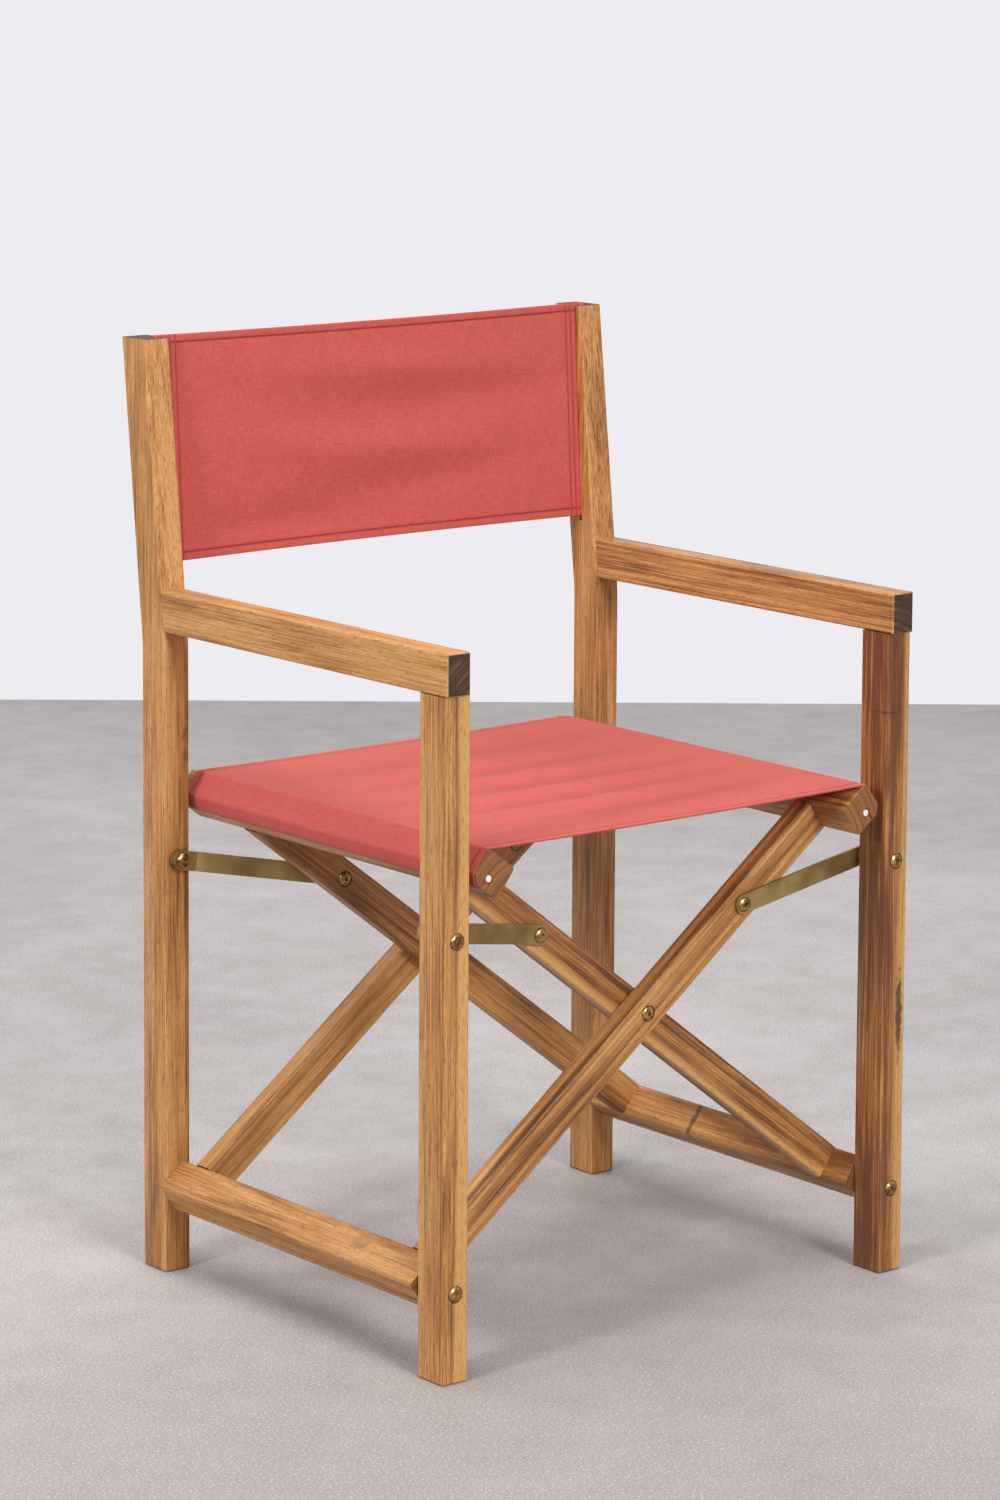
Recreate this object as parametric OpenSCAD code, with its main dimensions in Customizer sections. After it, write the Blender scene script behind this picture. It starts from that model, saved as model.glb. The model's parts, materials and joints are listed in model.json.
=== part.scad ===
// Folding director chair: two timber side frames, two timber X frames that
// pivot in them, four flat steel links, and a canvas back and seat.
// Millimetres. +Z is up, -Y is the front of the chair, X runs across it.
// The origin is on the floor under the middle of the bounding box.

/* [Overall size] */
// Width over the outer faces of the two side frames
overall_w = 548; // [500:4:600]
// Height of the post tops above the floor
overall_h = 870; // [840:2:900]
// Front face of the front legs to front face of the rear posts
leg_pitch = 412; // [380:2:460]
// Height of the top of the armrests
arm_top = 641.5; // [625:0.5:660]

/* [Side frame timber] */
// Leg and post thickness across the chair
leg_w = 28; // [25:0.5:30]
// Leg and post depth from front to back
leg_d = 36; // [32:1:40]
// Armrest width
arm_w = 25.5; // [22:0.5:28]
// Armrest height
arm_h = 38; // [32:1:42]
// How far the armrest stands out in front of the leg
arm_overhang = 3; // [1:0.5:6]
// Backward lean of the upper part of the rear posts, in degrees
post_rake = 6.3; // [4:0.1:7]
// Radius of the eased long edges of the timber
edge_r = 2.5; // [1.5:0.25:3]

/* [X frames] */
// Height of the foot pivots
pivot_z = 80; // [75:1:88]
// Height of the crossing bolts
cross_z = 277.5; // [270:0.5:285]
// Crossing bolt to the inner face of a seat rail, along the bar
upper_len = 256.5; // [252:0.5:260]
// Width of a cross bar's broad face
bar_w = 33; // [28:0.5:34]
// Thickness of a cross bar from front to back
bar_t = 20; // [18:0.5:21]
// Rail size along the bar
rail_u = 35; // [32:0.5:36]
// Rail size across the bar
rail_v = 32; // [30:0.5:33]

/* [Links] */
// Height of the link pins on the legs
link_z = 390.5; // [386:0.5:396]
// Crossing bolt to link pin, along the bar
link_s = 140.5; // [136:0.5:144]
// Width of the link strip
link_w = 18; // [16:0.5:20]
// Thickness of the link strip
link_t = 3; // [2.5:0.25:3.5]

/* [Hardware] */
// Bolt shank diameter
shank_d = 6; // [5:0.5:6]
// Diameter of the low button heads
head_d = 14; // [12:0.5:15]

/* [Canvas] */
// Thickness of the canvas
cloth_t = 1; // [0.8:0.1:1.2]
// Height of the back canvas
back_h = 210; // [180:5:215]
// Diameter of the rods in the seat canvas
rod_d = 6; // [5:0.5:6]

/* [Hidden] */
$fn = 48;

// Gaps: between faces that slide past each other, and inside a turning fit
gap = 0.3;
run = 0.05;
easy = 0.2;

// Side frames
half_w = overall_w / 2;
pin_x = half_w - leg_w / 2;
inner_x = half_w - leg_w;
arm_z = arm_top - arm_h;
knee_z = arm_z - 21;
knee_steps = 3;
knee_step_h = 8;
knee_mid = knee_z + knee_step_h;
tan_rake = tan(post_rake);
top_back = leg_pitch + (overall_h - knee_mid) * tan_rake + leg_d / cos(post_rake);
y_shift = -(top_back - arm_overhang) / 2;
foot_ease = 2;

// X frames
half_angle = atan2(cross_z - pivot_z, pin_x);
lower_len = sqrt(pow(cross_z - pivot_z, 2) + pow(pin_x, 2));
bar_gap = 1.1;
washer_t = bar_gap - gap;
end_gap = 0.5;
collar_t = 5;
leg_plane = leg_d + 2 * gap + collar_t;
a_front = leg_plane + link_t + gap + 3.3;
b_front = a_front + bar_t + bar_gap;
rear_inset = 8;
a_rear = leg_pitch + leg_d - a_front - rear_inset;
b_rear = a_rear - bar_t - bar_gap;
rail_front = 3;
rail_back = leg_pitch + 28;
seat_front = rail_front + 1;
seat_back = leg_pitch + 18;
foot_out = 15;
tenon_l = 10;
tenon_w = 22;
tenon_t = bar_t - 8;
rail_cut_u = 7;
rail_cut_v = 6;

// Hardware
head_h = 2.6;
recess = 1.2;
recess_d = head_d + 1.6;
socket_d = 4.6;
socket_h = 1.6;
sleeve_d = shank_d + 2;
insert_d = shank_d + 4;
insert_l = 18;
collar_d = 19;
dowel_d = 8;
dowel_l = 40;
dowel_end = 0.5;
nut_floor = 4;
short_cross = 6;
short_link = 10;

// Links
link_dx = pin_x - link_s * cos(half_angle);
link_dz = link_z - cross_z - link_s * sin(half_angle);
link_l = sqrt(pow(link_dx, 2) + pow(link_dz, 2));
link_lift = -atan2(link_dz, link_dx);
tab_l = 16;
jog_fr = a_front - gap - link_t - leg_plane;
jog_fl = b_front - gap - link_t - leg_plane;
rear_plane = leg_pitch - leg_plane + leg_d;
jog_rr = rear_plane - a_rear - gap - link_t;
jog_rl = rear_plane - b_rear - gap - link_t;

// Canvas channels in the seat rails
rod_u = rail_u - 15.5;
rod_v = -5.5;
channel_d = rod_d + 3;
rod_sleeve = rod_d / 2 + 0.1;
slit_u = rod_u + 2;
slit_w = 2.6;
slit_x0 = upper_len + slit_u - cloth_t / 2;
rail_low = -rail_v / 2;
rail_corner = [upper_len + rail_u - edge_r, rail_v / 2 - edge_r];
wrap_out = gap + cloth_t;
sleeve_a0 = -acos((slit_u + cloth_t / 2 - rod_u) / (rod_sleeve + cloth_t));
sleeve_a1 = 360 - acos((slit_u - cloth_t / 2 - rod_u) / (rod_sleeve + cloth_t));

// Canvas channels in the rear posts
post_rod_d = 5;
post_channel_d = 8.4;
post_rod_x = inner_x + 9;
back_proud = 3;
back_z0 = overall_h + back_proud - back_h;
face_low = leg_pitch + (back_z0 - knee_mid) * tan_rake;
face_top = leg_pitch + (overall_h - knee_mid) * tan_rake;
back_y0 = face_low + 18;
back_y1 = face_top + 8;
back_tilt = atan2(back_y1 - back_y0, overall_h - back_z0);
post_slit_w = 3.6;
slit_foot = 5;

// ---- Shared shapes ----

// Timber section with eased corners
module eased_rect(w, d) {
  translate([edge_r, 0]) square([w - 2 * edge_r, d]);
  translate([0, edge_r]) square([w, d - 2 * edge_r]);
  translate([edge_r, edge_r]) circle(r = edge_r);
  translate([w - edge_r, edge_r]) circle(r = edge_r);
  translate([edge_r, d - edge_r]) circle(r = edge_r);
  translate([w - edge_r, d - edge_r]) circle(r = edge_r);
}

// Block with every edge eased, one corner at the origin
module eased_block(w, d, h) {
  intersection() {
    linear_extrude(h) eased_rect(w, d);
    translate([0, d, 0]) rotate([90, 0, 0]) linear_extrude(d) eased_rect(w, h);
    rotate([90, 0, 90]) linear_extrude(w) eased_rect(d, h);
  }
}

// Round hole or pin along +Y from y0 to y1, centred on x and z
module along_y(x, z, y0, y1, d) {
  translate([x, y1, z]) rotate([90, 0, 0]) cylinder(h = y1 - y0, d = d);
}

// Low button head along +Y: its seat is at y = 0, its crown faces -Y
module button_head() {
  difference() {
    rotate([90, 0, 0]) rotate_extrude() polygon([
      [0, 0],
      [head_d / 2, 0],
      [head_d / 2, 0.9],
      [head_d / 2 - 0.6, 1.7],
      [head_d / 2 - 2, head_h],
      [0, head_h]
    ]);
    translate([0, socket_h - head_h, 0]) rotate([90, 0, 0]) cylinder(h = head_h, d = socket_d, $fn = 6);
  }
}

// Bolt with its head seated at y = 0 and a shank running to y = l
module button_bolt(l) {
  button_head();
  along_y(0, 0, 0, l, shank_d);
}

// Sleeve nut with its head seated at y = 0 and a hollow sleeve to y = l
module sleeve_nut(l, depth) {
  difference() {
    union() {
      button_head();
      along_y(0, 0, 0, l, sleeve_d);
    }
    along_y(0, 0, l - depth, l + 1, shank_d + 2 * run);
  }
}

// Places a child of frame A: u along the bar from the crossing, v across it
module in_a() {
  translate([0, 0, cross_z]) rotate([0, -half_angle, 0]) children();
}

// Moves the whole chair so that its bounding box is centred front to back
module seat_frame() {
  translate([0, y_shift, 0]) children();
}

// Turns a piece of the front half round to face the back of the chair
module face_back(y) {
  translate([0, y, 0]) mirror([0, 1, 0]) children();
}

// ---- Side frames, drawn on the right ----

module leg_holes(y0, y1) {
  along_y(pin_x, pivot_z, y0 - 1, y1 + 1, shank_d + 2 * easy);
  along_y(pin_x, link_z, y0 - 1, y1 + 1, sleeve_d + 2 * easy);
}

// Straight leg with eased long edges and an eased foot
module upright(h) {
  intersection() {
    linear_extrude(h) eased_rect(leg_w, leg_d);
    translate([0, leg_d, 0]) rotate([90, 0, 0]) linear_extrude(leg_d) foot_outline(leg_w, h);
    rotate([90, 0, 90]) linear_extrude(leg_w) foot_outline(leg_d, h);
  }
}

module front_leg() {
  difference() {
    translate([inner_x, 0, 0]) upright(arm_z);
    leg_holes(0, leg_d);
    along_y(pin_x, pivot_z, -1, recess, recess_d);
    along_y(pin_x, link_z, -1, recess, recess_d);
    translate([pin_x, leg_d / 2, arm_z - dowel_l / 2]) cylinder(h = dowel_l, d = dowel_d + 2 * run);
  }
}

// Upright outline with its two lower corners cut away
module foot_outline(w, h) {
  polygon([
    [foot_ease, 0],
    [w - foot_ease, 0],
    [w, foot_ease],
    [w, h],
    [0, h],
    [0, foot_ease]
  ]);
}

// Post in one piece: straight below the knee, leaning back above it
module rear_post() {
  difference() {
    union() {
      translate([inner_x, leg_pitch, 0]) upright(knee_z, $fn = 12);
      for (i = [1 : knee_steps]) {
        post_part(i);
      }
    }
    translate([0, leg_pitch - 10, overall_h]) cube([half_w + 10, 2 * leg_d + 100, 100]);
    leg_holes(leg_pitch, leg_pitch + leg_d);
    along_y(pin_x, pivot_z, leg_pitch + leg_d - recess, leg_pitch + leg_d + 1, recess_d);
    along_y(pin_x, link_z, leg_pitch + leg_d - recess, leg_pitch + leg_d + 1, recess_d);
    dowel_at_post(dowel_d + 2 * run);
    post_channel();
  }
}

// One step of the knee; the last one is the whole leaning part
module post_part(i) {
  step = post_rake / knee_steps;
  y = leg_pitch + knee_step_h * (i - 1) * tan(step * i / 2);
  z = knee_z + (i - 1) * knee_step_h;
  h = i == knee_steps ? overall_h - z + 10 : knee_step_h / cos(step * i);
  translate([inner_x, y, z]) rotate([-step * i, 0, 0])
    linear_extrude(h) eased_rect(leg_w, leg_d, $fn = 12);
}

// Round channel and slit for the back canvas, open at the top of the post
module post_channel() {
  translate([post_rod_x, back_y0, back_z0]) rotate([-back_tilt, 0, 0]) {
    translate([0, 0, -slit_foot]) cylinder(h = back_h + 30, d = post_channel_d);
    translate([-20, -post_slit_w / 2, -slit_foot]) cube([20, post_slit_w, back_h + 30]);
  }
}

// Dowel that ties the armrest to the post, along Y
module dowel_at_post(d) {
  z = arm_z + arm_h / 2;
  along_y(pin_x, z, leg_pitch - dowel_l / 2, leg_pitch + dowel_l / 2, d);
}

module armrest() {
  y0 = -arm_overhang;
  face0 = leg_pitch + (arm_z - knee_mid) * tan_rake;
  face1 = leg_pitch + (arm_top - knee_mid) * tan_rake;
  difference() {
    intersection() {
      translate([half_w - arm_w, y0, arm_z]) eased_block(arm_w, leg_pitch + 40, arm_h);
      translate([half_w - arm_w, 0, 0]) rotate([90, 0, 90]) linear_extrude(arm_w) polygon([
        [y0, arm_z],
        [face0 - run, arm_z],
        [face1 - run, arm_top],
        [y0, arm_top]
      ]);
    }
    translate([pin_x, leg_d / 2, arm_z - 1]) cylinder(h = dowel_l / 2 + 1, d = dowel_d + 2 * run);
    dowel_at_post(dowel_d + 2 * run);
  }
}

module arm_dowels() {
  translate([pin_x, leg_d / 2, arm_z - dowel_l / 2 + dowel_end])
    cylinder(h = dowel_l - 2 * dowel_end, d = dowel_d);
  z = arm_z + arm_h / 2;
  reach = dowel_l / 2 - dowel_end;
  along_y(pin_x, z, leg_pitch - reach, leg_pitch + reach, dowel_d);
}

module foot_bolts() {
  l = leg_d - recess + end_gap + insert_l - 2;
  translate([pin_x, recess, pivot_z]) button_bolt(l);
  translate([pin_x, 0, pivot_z]) face_back(leg_pitch + leg_d - recess) button_bolt(l);
}

// Bolts whose heads hold the links against the collars on the legs
module leg_link_bolts() {
  face_back(leg_plane + link_t + gap) translate([pin_x, 0, link_z]) button_bolt(leg_plane + link_t + gap - short_link);
  back = rear_plane - link_t - gap;
  translate([pin_x, back, link_z]) button_bolt(leg_pitch + leg_d - back - short_link);
}

module leg_link_nuts() {
  l = leg_d - recess - nut_floor;
  translate([pin_x, recess, link_z]) sleeve_nut(l, l - nut_floor);
  face_back(leg_pitch + leg_d - recess) translate([pin_x, 0, link_z]) sleeve_nut(l, l - nut_floor);
}

module link_collars() {
  difference() {
    union() {
      along_y(pin_x, link_z, leg_d, leg_d + gap + collar_t, collar_d);
      along_y(pin_x, link_z, leg_pitch - gap - collar_t, leg_pitch, collar_d);
    }
    along_y(pin_x, link_z, 0, leg_pitch + leg_d, shank_d + 2 * easy);
  }
}

module back_rod() {
  translate([post_rod_x, back_y0, back_z0]) rotate([-back_tilt, 0, 0])
    translate([0, 0, gap - slit_foot]) cylinder(h = back_h - back_proud + slit_foot - 2, d = post_rod_d);
}

// ---- X frames, drawn as frame A; frame B is its mirror image ----

// Timber along Y with its section drawn in u and v, from y0 to y1
module rail_solid(y0, y1) {
  in_a() translate([0, y1, 0]) rotate([90, 0, 0]) linear_extrude(y1 - y0) children();
}

// Mortises, or tenons with no play, of the bars whose front faces are at ys
module tenons(u, ys, play) {
  for (y = ys) {
    in_a() translate([u - play, y + (bar_t - tenon_t) / 2 - play, -tenon_w / 2 - play])
      cube([tenon_l + 2 * play, tenon_t + 2 * play, tenon_w + 2 * play]);
  }
}

module foot_rail(ys) {
  y0 = leg_d + end_gap;
  y1 = leg_pitch - end_gap;
  difference() {
    rail_solid(y0, y1) translate([-lower_len - foot_out, -rail_v / 2]) eased_rect(rail_u, rail_v);
    along_y(-pin_x, pivot_z, y0 - 1, y0 + insert_l, insert_d + 2 * run);
    along_y(-pin_x, pivot_z, y1 - insert_l, y1 + 1, insert_d + 2 * run);
    tenons(rail_u - foot_out - lower_len - tenon_l, ys, run);
  }
}

module foot_inserts() {
  y0 = leg_d + end_gap;
  y1 = leg_pitch - end_gap;
  difference() {
    union() {
      along_y(-pin_x, pivot_z, y0, y0 + insert_l - run, insert_d);
      along_y(-pin_x, pivot_z, y1 - insert_l + run, y1, insert_d);
    }
    along_y(-pin_x, pivot_z, 0, leg_pitch + leg_d, shank_d + 2 * run);
  }
}

module rail_section() {
  difference() {
    translate([0, -rail_v / 2]) eased_rect(rail_u, rail_v);
    polygon([
      [rail_u - rail_cut_u, -rail_v / 2],
      [rail_u - rail_cut_u, -rail_v],
      [rail_u + 5, -rail_v],
      [rail_u + 5, -rail_v / 2 + rail_cut_v],
      [rail_u, -rail_v / 2 + rail_cut_v]
    ]);
  }
}

module seat_rail(ys) {
  difference() {
    rail_solid(rail_front, rail_back) translate([upper_len, 0]) rail_section();
    rail_solid(rail_front - 1, rail_back + 1) translate([upper_len, 0]) {
      translate([rod_u, rod_v]) circle(d = channel_d);
      translate([slit_u - slit_w / 2, -rail_v]) square([slit_w, rail_v + rod_v]);
    }
    tenons(upper_len, ys, run);
  }
}

// White rod held in the canvas, in the channel of a seat rail
module seat_rod() {
  rail_solid(rail_front, rail_back) translate([upper_len + rod_u, rod_v]) circle(d = rod_d);
}

// Hole of a cross bar at u, sunk for a head on its front (-1) or rear (1) face
module bar_hole(u, y, d, side) {
  sink_y = side < 0 ? y - 1 : y + bar_t - recess;
  in_a() along_y(u, 0, y - 1, y + bar_t + 1, d);
  in_a() along_y(u, 0, sink_y, sink_y + recess + 1, recess_d);
}

// Cross bar with its front face at y
module bar(y, cross_hole_d, cross_side, link_side) {
  u0 = rail_u - foot_out - lower_len;
  difference() {
    union() {
      in_a() translate([u0, y, -bar_w / 2]) rotate([90, 0, 90])
        linear_extrude(upper_len - u0) eased_rect(bar_t, bar_w);
      tenons(u0 - tenon_l, [y], 0);
      tenons(upper_len, [y], 0);
    }
    bar_hole(0, y, cross_hole_d, cross_side);
    bar_hole(link_s, y, shank_d + 2 * easy, link_side);
  }
}

// ---- Crossing pivots ----

module cross_bolt_front() {
  translate([0, a_front + recess, cross_z]) button_bolt(2 * bar_t + bar_gap - recess - short_cross);
}

module cross_nut_front() {
  l = bar_t + gap - recess;
  translate([0, 0, cross_z]) face_back(b_front + bar_t + gap - recess) sleeve_nut(l, l - nut_floor);
}

module cross_bolt_rear() {
  translate([0, 0, cross_z]) face_back(a_rear - recess) button_bolt(2 * bar_t + bar_gap - recess - short_cross);
}

module cross_nut_rear() {
  l = bar_t + gap - recess;
  translate([0, b_rear - bar_t - gap + recess, cross_z]) sleeve_nut(l, l - nut_floor);
}

module cross_washers() {
  difference() {
    union() {
      along_y(0, cross_z, a_front + bar_t, a_front + bar_t + washer_t, collar_d);
      along_y(0, cross_z, a_rear - bar_t - washer_t, a_rear - bar_t, collar_d);
    }
    along_y(0, cross_z, 0, leg_pitch, sleeve_d + 2 * easy);
  }
}

// ---- Links ----

// Strip from the leg pin at the origin to the bar pin at x = link_l. The
// strip lies from y = 0 to link_t at the leg and from jog at the bar.
module link(jog) {
  r = link_w / 2;
  difference() {
    intersection() {
      translate([0, max(jog, 0) + link_t, 0]) rotate([90, 0, 0]) linear_extrude(abs(jog) + link_t) {
        circle(r = r);
        translate([link_l, 0]) circle(r = r);
        translate([0, -r]) square([link_l, link_w]);
      }
      translate([0, 0, -r]) linear_extrude(link_w) polygon([
        [-r, 0],
        [tab_l, 0],
        [link_l - tab_l, jog],
        [link_l + r, jog],
        [link_l + r, jog + link_t],
        [link_l - tab_l, jog + link_t],
        [tab_l, link_t],
        [-r, link_t]
      ]);
    }
    along_y(0, 0, -1, link_t + 1, shank_d + 2 * run);
    along_y(link_l, 0, jog - 1, jog + link_t + 1, shank_d + 2 * run);
  }
}

// Cap through the bar end of a link: head on the outer face, barrel in the eye
module link_cap(jog) {
  translate([link_l, jog, 0]) button_bolt(link_t);
}

// Places a link on the right front leg; the rear one is turned front to back
module at_leg(plane, back) {
  translate([pin_x, plane, link_z]) mirror([1, 0, 0]) rotate([0, -link_lift, 0])
    mirror([0, back ? 1 : 0, 0]) children();
}

// Bolts that stay in the bars at the link pins, one in each bar of a frame
module bar_link_bolts(front_y, rear_y) {
  in_a() translate([link_s, 0, 0]) face_back(front_y + bar_t - recess) button_bolt(bar_t - recess);
  in_a() translate([link_s, rear_y + recess, 0]) button_bolt(bar_t - recess);
}

// ---- Canvas ----

// Point at u and v in the plane of frame A, as X and Z
function at_uv(p) = [
  p[0] * cos(half_angle) - p[1] * sin(half_angle),
  cross_z + p[0] * sin(half_angle) + p[1] * cos(half_angle)
];

function flipped(p) = [-p[0], p[1]];

function backwards(list) = [for (i = [len(list) - 1 : -1 : 0]) list[i]];

function arc(c, r, a0, a1, n) = [
  for (i = [0 : n]) c + r * [cos(a0 + (a1 - a0) * i / n), sin(a0 + (a1 - a0) * i / n)]
];

// Outer line of the canvas on the A side, from the slit up to the top corner
function wrap_outer() = concat(
  [
    [slit_x0, rail_low - wrap_out],
    [upper_len + rail_u - rail_cut_u + wrap_out / 2, rail_low - wrap_out],
    [upper_len + rail_u + wrap_out, rail_low + rail_cut_v - wrap_out / 2]
  ],
  arc(rail_corner, edge_r + wrap_out, 0, 90 - half_angle, 6)
);

// Inner line back down to the slit, then round the rod's sleeve
function wrap_inner() = concat(
  arc(rail_corner, edge_r + gap, 90 - half_angle, 0, 6),
  [
    [upper_len + rail_u + gap, rail_low + rail_cut_v - gap / 2],
    [upper_len + rail_u - rail_cut_u + gap / 2, rail_low - gap],
    [slit_x0 + cloth_t, rail_low - gap]
  ],
  arc([upper_len + rod_u, rod_v], rod_sleeve + cloth_t, sleeve_a0, sleeve_a1, 30)
);

module seat_sling() {
  outer = [for (p = wrap_outer()) at_uv(p)];
  inner = [for (p = wrap_inner()) at_uv(p)];
  outline = concat(
    outer,
    [for (p = backwards(outer)) flipped(p)],
    [for (p = backwards(inner)) flipped(p)],
    inner
  );
  rod = at_uv([upper_len + rod_u, rod_v]);
  translate([0, seat_back, 0]) rotate([90, 0, 0]) linear_extrude(seat_back - seat_front) difference() {
    polygon(outline);
    translate(rod) circle(r = rod_sleeve);
    translate(flipped(rod)) circle(r = rod_sleeve);
  }
}

module back_sling() {
  x = post_rod_x;
  r0 = post_rod_d / 2 + 0.1;
  r1 = r0 + cloth_t;
  translate([0, back_y0, back_z0]) rotate([-back_tilt, 0, 0]) linear_extrude(back_h) {
    difference() {
      union() {
        translate([-x, -cloth_t / 2]) square([2 * x, cloth_t]);
        translate([-x, 0]) circle(r = r1);
        translate([x, 0]) circle(r = r1);
      }
      translate([-x, 0]) circle(r = r0);
      translate([x, 0]) circle(r = r0);
    }
  }
}

// ---- Colours and placing ----

module timber() {
  color([0.62, 0.42, 0.24]) seat_frame() children();
}

module zinc() {
  color([0.58, 0.5, 0.3]) seat_frame() children();
}

module bolt_metal() {
  color([0.52, 0.4, 0.25]) seat_frame() children();
}

module rod_stock() {
  color([0.92, 0.92, 0.92]) seat_frame() children();
}

module canvas() {
  color([0.8, 0.28, 0.26]) seat_frame() children();
}

module flip() {
  mirror([1, 0, 0]) children();
}

timber() flip() rear_post();  // rear_post_left
timber() rear_post();  // rear_post_right
timber() flip() front_leg();  // front_leg_left
timber() front_leg();  // front_leg_right
timber() flip() armrest();  // armrest_left
timber() armrest();  // armrest_right
timber() flip() arm_dowels();  // arm_dowels_left
timber() arm_dowels();  // arm_dowels_right
bolt_metal() flip() foot_bolts();  // foot_bolts_left
bolt_metal() foot_bolts();  // foot_bolts_right
bolt_metal() flip() leg_link_bolts();  // leg_link_bolts_left
bolt_metal() leg_link_bolts();  // leg_link_bolts_right
bolt_metal() flip() leg_link_nuts();  // leg_link_nuts_left
bolt_metal() leg_link_nuts();  // leg_link_nuts_right
zinc() flip() link_collars();  // link_collars_left
zinc() link_collars();  // link_collars_right
rod_stock() flip() back_rod();  // back_rod_left
rod_stock() back_rod();  // back_rod_right
timber() foot_rail([a_front, a_rear - bar_t]);  // foot_rail_left
timber() flip() foot_rail([b_front, b_rear - bar_t]);  // foot_rail_right
zinc() foot_inserts();  // foot_inserts_left
zinc() flip() foot_inserts();  // foot_inserts_right
timber() bar(a_front, shank_d + 2 * easy, -1, 1);  // bar_a_front
timber() bar(a_rear - bar_t, shank_d + 2 * easy, 1, -1);  // bar_a_rear
timber() flip() bar(b_front, sleeve_d + 2 * run, 1, 1);  // bar_b_front
timber() flip() bar(b_rear - bar_t, sleeve_d + 2 * run, -1, -1);  // bar_b_rear
timber() flip() seat_rail([b_front, b_rear - bar_t]);  // seat_rail_left
timber() seat_rail([a_front, a_rear - bar_t]);  // seat_rail_right
bolt_metal() cross_bolt_front();
bolt_metal() cross_bolt_rear();
bolt_metal() cross_nut_front();
bolt_metal() cross_nut_rear();
zinc() cross_washers();
bolt_metal() flip() bar_link_bolts(b_front, b_rear - bar_t);  // bar_link_bolts_left
bolt_metal() bar_link_bolts(a_front, a_rear - bar_t);  // bar_link_bolts_right
rod_stock() flip() seat_rod();  // seat_rod_left
rod_stock() seat_rod();  // seat_rod_right
zinc() flip() at_leg(leg_plane, false) link(jog_fl);  // link_front_left
zinc() at_leg(leg_plane, false) link(jog_fr);  // link_front_right
zinc() flip() at_leg(rear_plane, true) link(jog_rl);  // link_rear_left
zinc() at_leg(rear_plane, true) link(jog_rr);  // link_rear_right
bolt_metal() flip() at_leg(leg_plane, false) link_cap(jog_fl);  // link_cap_front_left
bolt_metal() at_leg(leg_plane, false) link_cap(jog_fr);  // link_cap_front_right
bolt_metal() flip() at_leg(rear_plane, true) link_cap(jog_rl);  // link_cap_rear_left
bolt_metal() at_leg(rear_plane, true) link_cap(jog_rr);  // link_cap_rear_right
canvas() seat_sling();
canvas() back_sling();
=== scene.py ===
import json
import math

import bpy
import numpy as np
from mathutils import Euler, Matrix, Vector


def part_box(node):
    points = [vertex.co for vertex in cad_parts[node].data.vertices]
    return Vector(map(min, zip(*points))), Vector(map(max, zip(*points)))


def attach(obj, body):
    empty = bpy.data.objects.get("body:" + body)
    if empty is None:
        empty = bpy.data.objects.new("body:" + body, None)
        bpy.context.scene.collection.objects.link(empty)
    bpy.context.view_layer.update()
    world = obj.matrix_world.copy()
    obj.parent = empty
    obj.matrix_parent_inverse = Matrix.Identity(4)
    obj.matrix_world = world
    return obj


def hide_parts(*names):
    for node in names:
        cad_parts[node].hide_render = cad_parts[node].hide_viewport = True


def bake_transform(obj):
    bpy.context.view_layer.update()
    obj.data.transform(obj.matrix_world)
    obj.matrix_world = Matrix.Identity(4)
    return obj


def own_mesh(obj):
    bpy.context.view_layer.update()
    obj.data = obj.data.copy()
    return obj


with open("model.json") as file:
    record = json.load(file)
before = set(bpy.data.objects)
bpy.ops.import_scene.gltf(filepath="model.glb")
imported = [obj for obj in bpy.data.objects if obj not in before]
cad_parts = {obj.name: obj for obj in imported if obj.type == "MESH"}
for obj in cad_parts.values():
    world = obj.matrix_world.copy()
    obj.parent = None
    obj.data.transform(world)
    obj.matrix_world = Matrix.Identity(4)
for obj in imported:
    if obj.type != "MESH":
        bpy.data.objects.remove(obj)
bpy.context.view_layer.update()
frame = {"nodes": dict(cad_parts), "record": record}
nodes = frame["nodes"]
joints = {j["name"]: j for j in frame["record"]["behaviour"]["joints"]}

# Side frames: each is a leg, a post with a bent top and an armrest, planed from
# acacia, with eased edges and an oiled finish. Dowels and glue hold the armrest.


def srgb(red, green, blue):
    """A colour written as on a screen, from 0 to 255, as Blender's linear colour."""
    line = []
    for part in (red, green, blue):
        c = part / 255
        line.append(c / 12.92 if c <= 0.04045 else ((c + 0.055) / 1.055) ** 2.4)
    return (*line, 1)


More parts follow.
